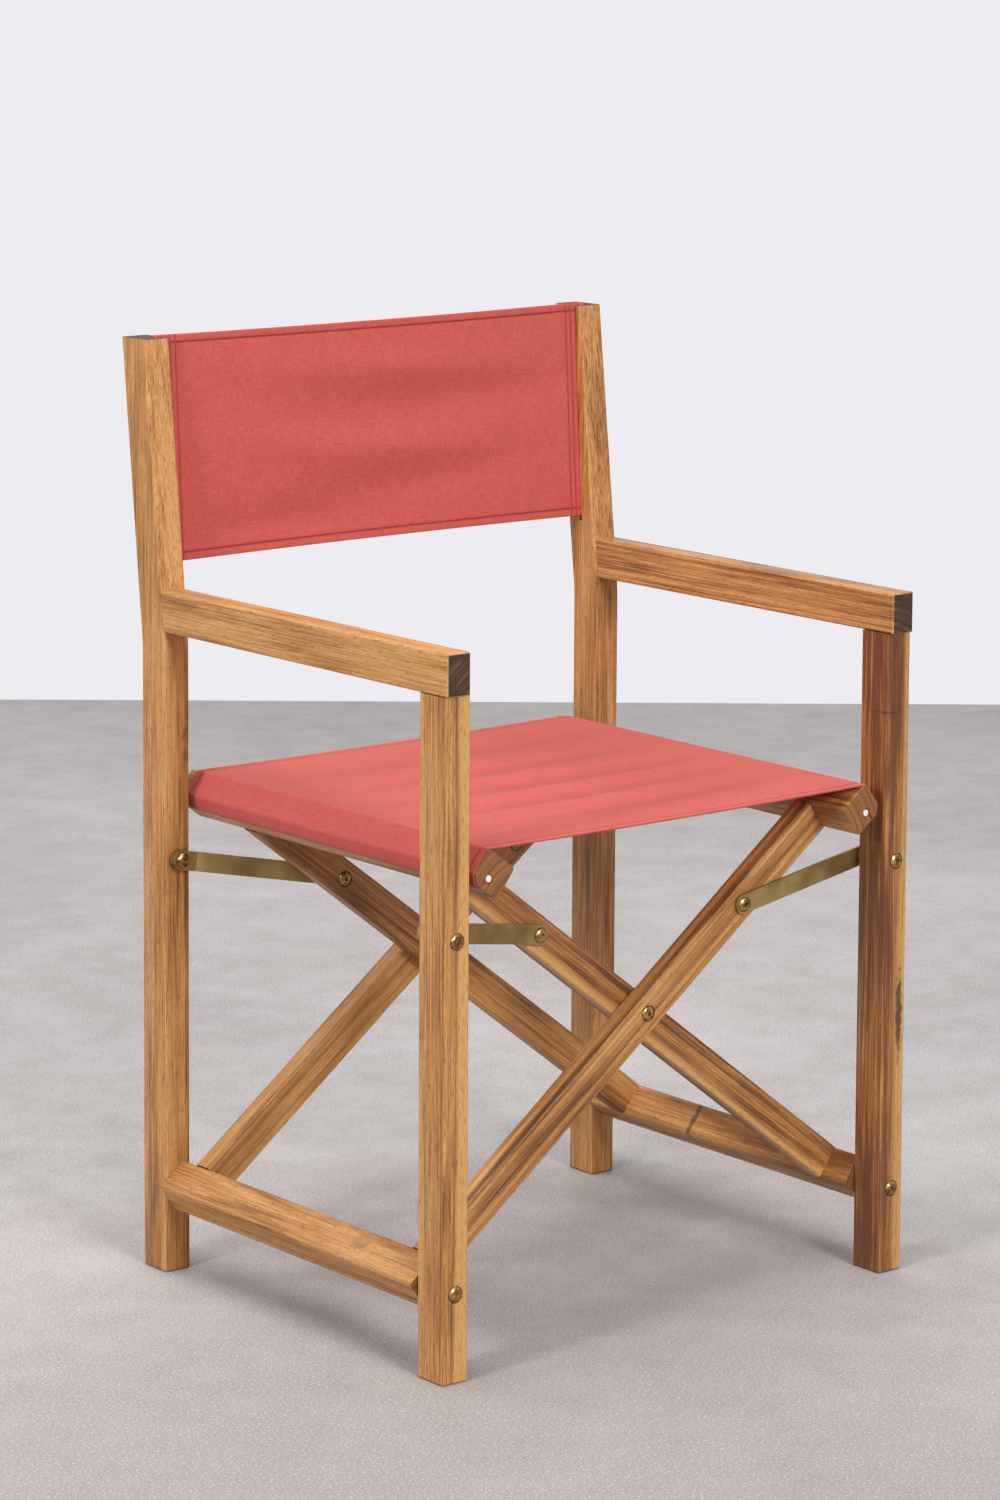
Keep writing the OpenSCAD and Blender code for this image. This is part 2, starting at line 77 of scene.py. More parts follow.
class Nodes:
    """A node tree that is built a line at a time."""

    def __init__(self, tree):
        self.tree = tree

    def add(self, kind, **settings):
        node = self.tree.nodes.new(kind)
        for name, value in settings.items():
            setattr(node, name, value)
        return node

    def put(self, target, value):
        """Sets a socket, or links it where the value is another socket."""
        if isinstance(value, bpy.types.NodeSocket):
            self.tree.links.new(value, target)
        else:
            target.default_value = value

    def math(self, operation, a, b=None, c=None):
        node = self.add("ShaderNodeMath", operation=operation)
        for i, value in enumerate((a, b, c)):
            if value is not None:
                self.put(node.inputs[i], value)
        return node.outputs[0]

    def vector(self, operation, a, b=None, scale=None):
        node = self.add("ShaderNodeVectorMath", operation=operation)
        self.put(node.inputs[0], a)
        if b is not None:
            self.put(node.inputs[1], b)
        if scale is not None:
            self.put(node.inputs["Scale"], scale)
        return node.outputs["Value" if operation in ("LENGTH", "DOT_PRODUCT") else "Vector"]

    def noise(self, vector, scale, detail=2.0, roughness=0.5, size="3D"):
        node = self.add("ShaderNodeTexNoise", noise_dimensions=size)
        self.put(node.inputs["W" if size == "1D" else "Vector"], vector)
        self.put(node.inputs["Scale"], scale)
        self.put(node.inputs["Detail"], detail)
        self.put(node.inputs["Roughness"], roughness)
        return node

    def step(self, value, low, high, start=0.0, end=1.0):
        node = self.add("ShaderNodeMapRange", interpolation_type="SMOOTHSTEP")
        for i, part in enumerate((value, low, high, start, end)):
            self.put(node.inputs[i], part)
        return node.outputs["Result"]

    def mix(self, share, a, b):
        node = self.add("ShaderNodeMix", data_type="RGBA")
        self.put(node.inputs[0], share)
        self.put(node.inputs[6], a)
        self.put(node.inputs[7], b)
        return node.outputs[2]

    def ramp(self, value, *stops):
        node = self.add("ShaderNodeValToRGB")
        self.put(node.inputs[0], value)
        points = node.color_ramp.elements
        while len(points) < len(stops):
            points.new(0.5)
        for point, (place, colour) in zip(points, stops):
            point.position = place
            point.color = colour
        return node.outputs[0]


def new_group(name, inputs, outputs):
    tree = bpy.data.node_groups.new(name, "ShaderNodeTree")
    for label, kind, value in inputs:
        made = tree.interface.new_socket(label, in_out="INPUT", socket_type=kind)
        made.default_value = value
    for label, kind in outputs:
        tree.interface.new_socket(label, in_out="OUTPUT", socket_type=kind)
    build = Nodes(tree)
    return build, build.add("NodeGroupInput").outputs, build.add("NodeGroupOutput").inputs


def new_material(name):
    made = bpy.data.materials.new(name)
    made.use_nodes = True
    made.node_tree.nodes.clear()
    build = Nodes(made.node_tree)
    skin = build.add("ShaderNodeBsdfPrincipled")
    out = build.add("ShaderNodeOutputMaterial")
    build.put(out.inputs["Surface"], skin.outputs[0])
    return made, build, skin.inputs


def add_bump(build, skin, height, strength, distance):
    bump = build.add("ShaderNodeBump")
    bump.inputs["Strength"].default_value = strength
    bump.inputs["Distance"].default_value = distance
    build.put(bump.inputs["Height"], height)
    build.put(skin["Normal"], bump.outputs["Normal"])


def dress(name, material):
    node = nodes[name]
    node.data.materials.clear()
    node.data.materials.append(material)


# Timber: the grain runs along X of its own frame, and the rings lie round the heart of
# the tree, which is that frame's X axis, so that faces, edges and ends agree.
FLOAT, VECTOR, COLOUR = "NodeSocketFloat", "NodeSocketVector", "NodeSocketColor"
DARK_GRAIN = srgb(104, 62, 32)
MID_GRAIN = srgb(176, 120, 64)
HONEY = srgb(213, 162, 100)
SAPWOOD = srgb(200, 153, 90)
END_GRAIN = srgb(54, 37, 28)
RED_GRAIN = srgb(150, 88, 46)

n, inp, out = new_group(
    "acacia grain",
    [
        ("Place", VECTOR, (0, 0, 0)), ("End", FLOAT, 0), ("End Paleness", FLOAT, 0),
        ("Sapwood From", FLOAT, 1), ("Tone", FLOAT, 0), ("Stripes", FLOAT, 1),
    ],
    [("Color", COLOUR), ("Roughness", FLOAT), ("Height", FLOAT)],
)
place = inp["Place"]
wander = n.noise(n.vector("MULTIPLY", place, (1.3, 8, 8)), 1, 2).outputs["Color"]
wander = n.vector("MULTIPLY", n.vector("SUBTRACT", wander, (0.5, 0.5, 0.5)), (0, 0.016, 0.016))
bent = n.vector("MULTIPLY", n.vector("ADD", place, wander), (0, 1, 1))
heart = n.vector("LENGTH", bent)
rings = n.noise(heart, 150, 2, 0.55, "1D").outputs["Fac"]
broad = n.noise(n.vector("MULTIPLY", place, (5, 38, 38)), 1, 2).outputs["Fac"]
fibre = n.noise(n.vector("MULTIPLY", place, (12, 900, 900)), 1, 4, 0.6).outputs["Fac"]
figure = n.noise(n.vector("MULTIPLY", place, (16, 400, 400)), 1, 3, 0.6).outputs["Fac"]
pores = n.noise(n.vector("MULTIPLY", place, (110, 1400, 1400)), 1, 2).outputs["Fac"]
pores = n.step(pores, 0.57, 0.67)
striped = n.math("MULTIPLY", n.math("SUBTRACT", rings, 0.5), inp["Stripes"])
tone = n.math("MULTIPLY_ADD", striped, 0.27, n.math("ADD", inp["Tone"], 0.1))
tone = n.math("MULTIPLY_ADD", broad, 0.3, tone)
tone = n.math("MULTIPLY_ADD", fibre, 0.29, tone)
tone = n.math("MULTIPLY_ADD", figure, 0.21, tone)
face = n.ramp(tone, (0.4, DARK_GRAIN), (0.485, MID_GRAIN), (0.575, HONEY))
face = n.mix(n.step(broad, 0.45, 0.7, 0, 0.22), face, RED_GRAIN)
sap = n.math("SUBTRACT", heart, inp["Sapwood From"])
pale = n.mix(n.step(fibre, 0.3, 0.7), HONEY, SAPWOOD)
face = n.mix(n.step(sap, -0.001, 0.004, 0, 0.85), face, pale)
streak = n.step(n.noise(heart, 330, 1, 0.5, "1D").outputs["Fac"], 0.6, 0.68)
streak = n.math("MULTIPLY", streak, n.step(figure, 0.36, 0.56))
streak = n.math("MULTIPLY", streak, inp["Stripes"])
face = n.mix(n.math("MULTIPLY", streak, 0.55), face, DARK_GRAIN)
face = n.mix(n.math("MULTIPLY", pores, 0.6), face, DARK_GRAIN)
end = n.step(inp["End"], 0.72, 0.9)
ends = n.mix(n.step(rings, 0.42, 0.66, 0, 0.7), END_GRAIN, MID_GRAIN)
ends = n.mix(n.step(broad, 0.35, 0.65, 0.6, 1.0), ends, END_GRAIN)
paler = n.mix(n.step(rings, 0.36, 0.64, 0.3, 0.75), DARK_GRAIN, MID_GRAIN)
ends = n.mix(inp["End Paleness"], ends, paler)
n.put(out["Color"], n.mix(end, face, ends))
rough = n.math("MULTIPLY_ADD", fibre, 0.25, 0.3)
n.put(out["Roughness"], n.math("MULTIPLY_ADD", end, 0.25, rough))
relief = n.math("MULTIPLY_ADD", pores, -0.8, n.math("MULTIPLY", fibre, 0.8))
n.put(out["Height"], n.math("MULTIPLY_ADD", rings, 0.3, relief))
GRAIN = n.tree

# A knot or a bruise in the growth: a dark spot with a torn outline.
n, inp, out = new_group(
    "growth mark",
    [("Place", VECTOR, (0, 0, 0)), ("Middle", VECTOR, (0, 0, 0)), ("Size", VECTOR, (1, 1, 1))],
    [("Mask", FLOAT)],
)
off = n.vector("SUBTRACT", inp["Place"], inp["Middle"])
torn = n.noise(n.vector("SCALE", inp["Place"], scale=130), 1, 3).outputs["Fac"]
far = n.vector("LENGTH", n.vector("DIVIDE", off, inp["Size"]))
far = n.math("ADD", far, n.math("MULTIPLY", n.math("SUBTRACT", torn, 0.5), 1.5))
n.put(out["Mask"], n.step(far, 1.1, 0.45))
MARK = n.tree

ALONG_Z = ((0, math.pi / 2, 0), (0, 0, 1))
ALONG_Y = ((0, 0, -math.pi / 2), (0, 1, 0))


def timber(name, along, number, heart, sapwood=1.0, tone=0.0, stripes=1.0, marks=(), end=0.0):
    """One board's own timber: heart is a point on the middle of the tree that it came from,
    from the board's own middle, and sapwood the distance from there at which it turns pale.
    stripes says how much its growth rings show, and end how pale its cut ends are."""
    turn, axis = along
    low, high = (Vector(p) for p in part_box(name))
    made, b, skin = new_material(name + " timber")
    where = b.add("ShaderNodeTexCoord")
    turned = b.add("ShaderNodeMapping")
    b.put(turned.inputs["Vector"], where.outputs["Object"])
    turned.inputs["Rotation"].default_value = turn
    middle = Euler(turn).to_matrix() @ ((low + high) / 2 + Vector(heart))
    turned.inputs["Location"].default_value = Vector((number * 1.37, 0, 0)) - middle
    grain = b.add("ShaderNodeGroup", node_tree=GRAIN)
    b.put(grain.inputs["Place"], turned.outputs["Vector"])
    facing = b.vector("DOT_PRODUCT", where.outputs["Normal"], axis)
    b.put(grain.inputs["End"], b.math("ABSOLUTE", facing))
    grain.inputs["Sapwood From"].default_value = sapwood
    grain.inputs["Tone"].default_value = tone
    grain.inputs["Stripes"].default_value = stripes
    grain.inputs["End Paleness"].default_value = end
    colour = grain.outputs["Color"]
    for spot, size, strength in marks:
        mark = b.add("ShaderNodeGroup", node_tree=MARK)
        b.put(mark.inputs["Place"], where.outputs["Object"])
        mark.inputs["Middle"].default_value = spot
        mark.inputs["Size"].default_value = size
        colour = b.mix(b.math("MULTIPLY", mark.outputs["Mask"], strength), colour, END_GRAIN)
    b.put(skin["Base Color"], colour)
    b.put(skin["Roughness"], grain.outputs["Roughness"])
    skin["Specular IOR Level"].default_value = 0.4
    add_bump(b, skin, grain.outputs["Height"], 0.5, 0.0004)
    return made


leg_low, leg_high = (Vector(p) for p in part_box("front_leg_right"))
crack = Vector((leg_low.x, leg_low.y, leg_high.z - 0.073))
bruise = Vector((leg_high.x - 0.008, leg_low.y, 0.245))
post_low, post_high = (Vector(p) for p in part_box("rear_post_left"))
stain = Vector((post_high.x, post_low.y + 0.012, 0.5))
side_boards = {
    "rear_post_left": (
        ALONG_Z, 1, (-0.08, -0.11, 0), 1.0, 0.006, 0.3,
        [(stain, (0.012, 0.02, 0.035), 0.5)],
    ),
    "rear_post_right": (ALONG_Z, 2, (0.1, 0.09, 0), 1.0, -0.006, 0.2),
    "front_leg_left": (ALONG_Z, 3, (-0.05, 0.05, 0), 0.083, 0.004, 0.75),
    "front_leg_right": (
        ALONG_Z, 4, (-0.045, 0.045, 0), 0.079, -0.075, 0.6,
        [(bruise, (0.0045, 0.03, 0.045), 0.85), (crack, (0.02, 0.03, 0.0012), 0.7)],
    ),
    "armrest_left": (ALONG_Y, 5, (0.09, 0, -0.1), 1.0, 0.024, 0.3),
    "armrest_right": (ALONG_Y, 6, (-0.02, 0, -0.06), 1.0, -0.012, 0.9),
    "arm_dowels_left": (ALONG_Z, 7, (0.03, 0.03, 0), 1.0, 0.04, 0.5),
    "arm_dowels_right": (ALONG_Z, 8, (0.03, 0.03, 0), 1.0, 0.04, 0.5),
}
for name, board in side_boards.items():
    dress(name, timber(name, *board))

# X frames: four flat bars tenoned into two foot rails and two seat rails. Each rail is
# turned to its bars, and its grain runs from front to back.
foot = Vector(joints["fold"]["pos_m"])
cross = Vector(joints["crossing"]["pos_m"])
slope = math.atan2(cross.z - foot.z, cross.x - foot.x)
UP_RIGHT = ((0, slope, 0), (math.cos(slope), 0, math.sin(slope)))
UP_LEFT = ((0, -slope, 0), (-math.cos(slope), 0, math.sin(slope)))
rail_low, rail_high = (Vector(p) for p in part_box("foot_rail_right"))
knot = Vector(((rail_low.x + rail_high.x) / 2 - 0.01, 0.02, rail_high.z - 0.012))
rail_low, rail_high = (Vector(p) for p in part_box("foot_rail_left"))
swirl = Vector(((rail_low.x + rail_high.x) / 2 - 0.004, -0.11, rail_high.z - 0.012))
cross_boards = {
    "foot_rail_left": (
        ALONG_Y, 9, (0.05, 0, -0.09), 1.0, 0.0, 0.5,
        [(swirl, (0.012, 0.016, 0.01), 0.35)], 0.5,
    ),
    "foot_rail_right": (
        ALONG_Y, 10, (0.05, 0, -0.03), 1.0, -0.012, 0.9,
        [(knot, (0.03, 0.004, 0.03), 0.7)], 0.5,
    ),
    "seat_rail_left": (ALONG_Y, 11, (0.03, 0, -0.04), 1.0, 0.0, 0.8, [], 0.75),
    "seat_rail_right": (ALONG_Y, 12, (-0.05, 0, -0.03), 1.0, -0.02, 0.9, [], 0.75),
    "bar_a_front": (UP_RIGHT, 13, (-0.05, 0.07, 0.06), 1.0, -0.004, 0.85),
    "bar_a_rear": (UP_RIGHT, 14, (-0.03, 0.05, 0.04), 1.0, 0.005, 0.6),
    "bar_b_front": (UP_LEFT, 15, (0.036, 0.045, 0.047), 0.0865, -0.035, 0.8),
    "bar_b_rear": (UP_LEFT, 16, (0.03, 0.04, 0.04), 1.0, -0.03, 0.8),
}
for name, board in cross_boards.items():
    dress(name, timber(name, *board))

# Bolts, sleeve nuts and link caps: low button heads with a hexagon socket, steel
# with a thin bronze plating that is a little worn on the crowns.
BRONZE = srgb(160, 126, 80)
BRONZE_WORN = srgb(200, 172, 126)
BRONZE_DULL = srgb(106, 80, 48)
plating, b, skin = new_material("bronze plated steel")
where = b.add("ShaderNodeTexCoord").outputs["Object"]
cloud = b.noise(where, 260, 3).outputs["Fac"]
fine = b.noise(where, 2400, 2).outputs["Fac"]
tint = b.ramp(cloud, (0.35, BRONZE_DULL), (0.52, BRONZE), (0.68, BRONZE_WORN))
b.put(skin["Base Color"], tint)
b.put(skin["Roughness"], b.math("MULTIPLY_ADD", fine, 0.2, 0.24))
skin["Metallic"].default_value = 1
add_bump(b, skin, fine, 0.15, 0.0001)
for side in ("left", "right"):
    for part in ("foot_bolts", "leg_link_bolts", "leg_link_nuts", "bar_link_bolts"):
        dress(f"{part}_{side}", plating)
    for end in ("front", "rear"):
        dress(f"link_cap_{end}_{side}", plating)
for end in ("front", "rear"):
    dress(f"cross_bolt_{end}", plating)
    dress(f"cross_nut_{end}", plating)

# Links, collars, washers and inserts: steel with yellow zinc plating, which is
# olive gold and clouded, with faint rolling lines along the strips.
ZINC = srgb(152, 128, 78)
ZINC_PALE = srgb(184, 160, 110)
ZINC_DARK = srgb(128, 104, 60)
zinc, b, skin = new_material("yellow zinc plated steel")
where = b.add("ShaderNodeTexCoord").outputs["Object"]
cloud = b.noise(where, 28, 2, 0.5).outputs["Fac"]
lines = b.noise(b.vector("MULTIPLY", where, (40, 900, 1300)), 1, 2).outputs["Fac"]
specks = b.noise(where, 1500, 2).outputs["Fac"]
tint = b.ramp(cloud, (0.34, ZINC_DARK), (0.5, ZINC), (0.68, ZINC_PALE))
tint = b.mix(b.math("MULTIPLY", lines, 0.3), tint, ZINC_PALE)
b.put(skin["Base Color"], tint)
b.put(skin["Roughness"], b.math("MULTIPLY_ADD", specks, 0.22, 0.34))
skin["Metallic"].default_value = 1
add_bump(b, skin, lines, 0.12, 0.0002)
for side in ("left", "right"):
    for part in ("link_front", "link_rear", "link_collars", "foot_inserts"):
        dress(f"{part}_{side}", zinc)
dress("cross_washers", zinc)

# Rods in the canvas pockets: drawn white plastic with faint draw marks.
ROD_WHITE = srgb(232, 232, 230)
ROD_GREY = srgb(205, 206, 206)
plastic, b, skin = new_material("white rod")
where = b.add("ShaderNodeTexCoord").outputs["Object"]
marks = b.noise(b.vector("MULTIPLY", where, (900, 60, 900)), 1, 2).outputs["Fac"]
b.put(skin["Base Color"], b.mix(b.step(marks, 0.35, 0.75, 0, 0.6), ROD_WHITE, ROD_GREY))
b.put(skin["Roughness"], b.math("MULTIPLY_ADD", marks, 0.2, 0.38))
add_bump(b, skin, marks, 0.1, 0.0001)
for side in ("left", "right"):
    dress(f"seat_rod_{side}", plastic)
    dress(f"back_rod_{side}", plastic)

# Seat canvas: a heavy red cotton sheet with hemmed front and rear edges. Each side
# goes over the outer face of its rail, through a slit below and round a rod.
CLOTH_RED = srgb(195, 86, 79)
CLOTH_PALE = srgb(205, 101, 94)
CLOTH_DEEP = srgb(177, 71, 66)
CLOTH_SHADE = srgb(138, 40, 40)
THREAD = srgb(122, 30, 34)
YARN = 0.00055
cloth_t = 0.001
EDGE_ROUND = 0.0007
HEM_TURN = 0.0012
HEM_EXTRA = 0.0009
STITCH_DIP = 0.0004
DIP_REACH = 0.0016
SEAM_REACH = 0.0011
ROW_FROM_HEM = 0.0015
THREAD_SUNK = 0.00005

n, inp, out = new_group(
    "plain weave",
    [("Cloth", VECTOR, (0, 0, 0)), ("Yarn", FLOAT, YARN), ("Seam", FLOAT, 0)],
    [("Color", COLOUR), ("Height", FLOAT), ("Roughness", FLOAT)],
)
cut = n.add("ShaderNodeSeparateXYZ")
n.put(cut.inputs[0], inp["Cloth"])
turns = n.math("DIVIDE", math.pi, inp["Yarn"])
warp = n.math("SINE", n.math("MULTIPLY", cut.outputs[0], turns))
weft = n.math("SINE", n.math("MULTIPLY", cut.outputs[1], turns))
over = n.step(n.math("MULTIPLY", warp, weft), -0.35, 0.35)
ridge = n.math("MULTIPLY", over, n.math("ABSOLUTE", warp))
under = n.math("MULTIPLY", n.math("SUBTRACT", 1, over), n.math("ABSOLUTE", weft))
ridge = n.math("ADD", ridge, under)
slub_a = n.noise(n.vector("MULTIPLY", inp["Cloth"], (900, 90, 1)), 1, 2).outputs["Fac"]
slub_b = n.noise(n.vector("MULTIPLY", inp["Cloth"], (90, 900, 1)), 1, 2).outputs["Fac"]
slub = n.math("MULTIPLY", n.math("ADD", slub_a, slub_b), 0.5)
cloud = n.noise(inp["Cloth"], 38, 3).outputs["Fac"]
tone = n.math("MULTIPLY_ADD", cloud, 0.12, n.math("MULTIPLY", slub, 0.88))
colour = n.ramp(tone, (0.3, CLOTH_DEEP), (0.5, CLOTH_RED), (0.7, CLOTH_PALE))
colour = n.mix(n.step(ridge, 0.45, 0.1, 0, 0.3), colour, CLOTH_DEEP)
# The colour goes towards the shade colour where stitches pull the cloth in, and in the seat's hollows
# as painted shade.
colour = n.mix(n.math("MULTIPLY", inp["Seam"], 0.8), colour, CLOTH_SHADE)
n.put(out["Color"], colour)
n.put(out["Height"], n.math("MULTIPLY_ADD", slub, 0.4, n.math("MULTIPLY", ridge, 0.5)))
n.put(out["Roughness"], n.math("MULTIPLY_ADD", slub, 0.15, 0.78))
WEAVE = n.tree

canvas, b, skin = new_material("red canvas")
weave = b.add("ShaderNodeGroup", node_tree=WEAVE)
b.put(weave.inputs["Cloth"], b.add("ShaderNodeUVMap", uv_map="cloth").outputs["UV"])
b.put(weave.inputs["Seam"], b.add("ShaderNodeAttribute", attribute_name="crease_shade").outputs["Fac"])
b.put(skin["Base Color"], weave.outputs["Color"])
b.put(skin["Roughness"], weave.outputs["Roughness"])
skin["Sheen Weight"].default_value = 0.22
skin["Sheen Tint"].default_value = srgb(255, 190, 170)
skin["Sheen Roughness"].default_value = 0.4
skin["Specular IOR Level"].default_value = 0.25
add_bump(b, skin, weave.outputs["Height"], 0.6, 0.0005)

thread, b, skin = new_material("red thread")
where = b.add("ShaderNodeTexCoord").outputs["Object"]
twist = b.noise(b.vector("SCALE", where, scale=1500), 1, 2).outputs["Fac"]
b.put(skin["Base Color"], b.mix(twist, THREAD, CLOTH_DEEP))
skin["Roughness"].default_value = 0.6
add_bump(b, skin, twist, 0.3, 0.0002)


def cloth_piece(name, mid, top, bottom, uv, crease_shade):
    """A closed sheet from its middle surface and how far its two faces lie from it.

    mid is rows x columns x 3, top and bottom are rows x columns, uv is the place of each
    point on the flat cloth, in metres, and the last is how far its colour goes to the shade
    colour: 1 where stitches pull the cloth in, and part way in the seat's hollows, where the shade is
    painted.
    """
    rows, columns = mid.shape[:2]
    across = np.gradient(mid, axis=0)
    down = np.gradient(mid, axis=1)
    normal = np.cross(across, down)
    normal /= np.linalg.norm(normal, axis=2, keepdims=True)
    points = np.concatenate([
        (mid + normal * top[..., None]).reshape(-1, 3),
        (mid - normal * bottom[..., None]).reshape(-1, 3),
    ])
    index = np.arange(rows * columns).reshape(rows, columns)
    a, b, c, d = index[:-1, :-1], index[1:, :-1], index[1:, 1:], index[:-1, 1:]
    upper = np.stack([a, b, c, d], -1).reshape(-1, 4)
    lower = np.stack([d, c, b, a], -1).reshape(-1, 4) + rows * columns
    loop = np.concatenate([index[:, 0], index[-1, 1:], index[-2::-1, -1], index[0, -2::-1]])
    one, two = loop[:-1], loop[1:]
    rim = np.stack([two, one, one + rows * columns, two + rows * columns], -1)
    faces = np.concatenate([upper, lower, rim])
    mesh = bpy.data.meshes.new(name)
    mesh.from_pydata(points.tolist(), [], faces.tolist())
    layer = mesh.uv_layers.new(name="cloth")
    flat = np.concatenate([uv.reshape(-1, 2), uv.reshape(-1, 2)])
    corners = np.zeros(len(mesh.loops), int)
    mesh.loops.foreach_get("vertex_index", corners)
    layer.data.foreach_set("uv", flat[corners].ravel())
    pulled = mesh.attributes.new("crease_shade", "FLOAT", "POINT")
    pulled.data.foreach_set("value", np.concatenate([crease_shade.ravel(), crease_shade.ravel()]))
    mesh.polygons.foreach_set("use_smooth", [True] * len(mesh.polygons))
    mesh.update()
    piece = bpy.data.objects.new(name, mesh)
    bpy.context.scene.collection.objects.link(piece)
    mesh.materials.append(canvas)
    return piece, normal


# One stitch: a short spindle of thread that lies along X and is sunk at both ends.
STITCH_LONG = 0.0030
STITCH_GAP = 0.0008
STITCH_THICK = 0.0007
bpy.ops.object.select_all(action="DESELECT")
bpy.ops.mesh.primitive_uv_sphere_add(segments=6, ring_count=4, radius=0.5, rotation=(0, math.pi / 2, 0))
stitch = bpy.context.object
bpy.ops.object.mode_set(mode="EDIT")
bpy.ops.mesh.select_all(action="SELECT")
bpy.ops.transform.resize(value=(STITCH_LONG, STITCH_THICK, STITCH_THICK))
bpy.ops.object.mode_set(mode="OBJECT")
bpy.ops.object.transform_apply(location=True, rotation=True, scale=True)
stitch_points = np.array([v.co for v in stitch.data.vertices])
stitch_faces = [list(p.vertices) for p in stitch.data.polygons]
bpy.data.objects.remove(stitch)


def stitch_rows(name, lines):
    """Stitches along lines. A line is its points and the cloth's outward normal at each."""
    points, faces = [], []
    for line, normals in lines:
        steps = np.linalg.norm(np.diff(line, axis=0), axis=1)
        run = np.concatenate([[0], np.cumsum(steps)])
        pitch = STITCH_LONG + STITCH_GAP
        for k in range(int(run[-1] / pitch)):
            s = (k + 0.5) * pitch
            at = np.array([np.interp(s, run, line[:, i]) for i in range(3)])
            ahead = np.array([np.interp(s + 1e-4, run, line[:, i]) for i in range(3)])
            up = np.array([np.interp(s, run, normals[:, i]) for i in range(3)])
            x = (ahead - at) / np.linalg.norm(ahead - at)
            z = up - x * (up @ x)
            z /= np.linalg.norm(z)
            base = len(points)
            points.extend((at + stitch_points @ np.array([x, np.cross(z, x), z])).tolist())
            faces.extend([[v + base for v in f] for f in stitch_faces])
    mesh = bpy.data.meshes.new(name)
    mesh.from_pydata(points, [], faces)
    mesh.polygons.foreach_set("use_smooth", [True] * len(mesh.polygons))
    mesh.update()
    piece = bpy.data.objects.new(name, mesh)
    bpy.context.scene.collection.objects.link(piece)
    mesh.materials.append(thread)
    return piece


def hem(distance, width, turn):
    """Extra thickness of a folded hem at a distance in from the edge."""
    t = np.clip((width - distance) / turn, 0, 1)
    return t * t * (3 - 2 * t)


def pull(distance, reach):
    """How much a row of stitches pulls the cloth in, from 0 to 1, at a distance from it."""
    return np.exp(-((distance / reach) ** 2))


def rows_at(edges, rows, ends):
    """Grid lines to go with a sheet's even set: close ones at its edges, and five at each row, on both
    halves.
    """
    lines = list(edges)
    for row in rows:
        lines += [row - 0.0022, row - 0.0011, row, row + 0.0011, row + 0.0022]
    return [*lines, *(sum(ends) - v for v in lines)]


# The path of the cloth over the right rail, seen from the front, from the rod outwards.
# It is measured from the rod along the bar (u) and square to it (v).
ease = 0.0008
sleeve = 0.0036
slit = 0.0020
under_face = -0.0105 - ease
cut_corner = 0.0089
outer_face = 0.0155 + ease
cut_top = -0.0049
nose = (0.0130, 0.0190)
nose_round = 0.0033


def arc(middle, radius, start, end, count):
    angles = np.radians(np.linspace(start, end, count))
    return [(middle[0] + radius * math.cos(a), middle[1] + radius * math.sin(a)) for a in angles]


def run_of(a, b, count):
    return [tuple(np.array(a) + (np.array(b) - np.array(a)) * i / count) for i in range(1, count + 1)]


leave = -math.degrees(math.acos(slit / sleeve))
around = arc((0, 0), sleeve, leave - 345, leave, 30)
path = around + run_of(around[-1], (slit, under_face), 5)
path += run_of(path[-1], (cut_corner, under_face), 4)
path += run_of(path[-1], (outer_face, cut_top), 5)
path += run_of(path[-1], (outer_face, nose[1]), 9)
path += arc(nose, nose_round, 0, 90 - math.degrees(slope), 9)[1:]
rod_low, rod_high = (Vector(p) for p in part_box("seat_rod_right"))
rod = (rod_low + rod_high) / 2
right = [
    (
        rod.x + u * math.cos(slope) - v * math.sin(slope),
        rod.z + u * math.sin(slope) + v * math.cos(slope),
    )
    for u, v in path
]
right = right[::-1]
level = right[0]
TOP_COLUMNS = 120
left = [(-x, z) for x, z in right[::-1]]
top_line = [(level[0] * (2 * i / TOP_COLUMNS - 1), level[1]) for i in range(1, TOP_COLUMNS)]
section = np.array(left + top_line + right)
seat_low, seat_high = (Vector(p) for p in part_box("seat_sling"))
SEAT_ROWS = 118
seat_hem = 0.010
SAG = 0.0012
DEEPEST = 0.0024
HOLLOW_PAINTED_SHADE = 0.36
depth = np.linspace(0, 1, SEAT_ROWS)
y_line = seat_low.y + (seat_high.y - seat_low.y) * depth
seat_row = seat_hem - ROW_FROM_HEM
edge_y = [seat_low.y + d for d in (EDGE_ROUND, seat_hem, seat_hem + HEM_TURN)]
y_ends = (seat_low.y, seat_high.y)
y_line = np.concatenate([y_line, rows_at(edge_y, [seat_low.y + seat_row], y_ends)])
y_line = np.unique(np.round(y_line, 6))
mid = np.zeros((len(section), len(y_line), 3))
mid[..., 0] = section[:, 0, None]
mid[..., 1] = y_line[None, :]
mid[..., 2] = section[:, 1, None]
# The cloth hangs a little between the rails, and pulls into low ridges and hollows that
# run from rail to rail and fade towards both. Each has its place along y, its slant,
# half its width, its height, and where along x it is highest.
free = np.clip(1 - (mid[..., 0] / level[0]) ** 2, 0, 1)
on_top = np.abs(mid[..., 0]) <= level[0]
on_top &= mid[..., 2] > level[1] - 1e-6
free = np.where(on_top, free, 0)
ridges = [
    (-0.196, 0.05, 0.012, 0.00156, -0.06),
    (-0.166, 0.02, 0.011, -0.00216, -0.03),
    (-0.134, -0.01, 0.011, 0.0024, 0.02),
    (-0.104, 0.01, 0.011, -0.00264, -0.02),
    (-0.074, 0.02, 0.011, 0.00264, 0.03),
    (-0.042, -0.01, 0.012, -0.00276, 0.00),
    (-0.010, 0.00, 0.012, 0.00252, -0.04),
    (0.024, 0.02, 0.013, -0.00216, 0.02),
    (0.060, -0.02, 0.014, 0.00192, -0.02),
    (0.100, 0.02, 0.015, -0.00156, 0.03),
    (0.142, 0.00, 0.016, 0.0012, 0.00),
]
lift = np.zeros(free.shape)
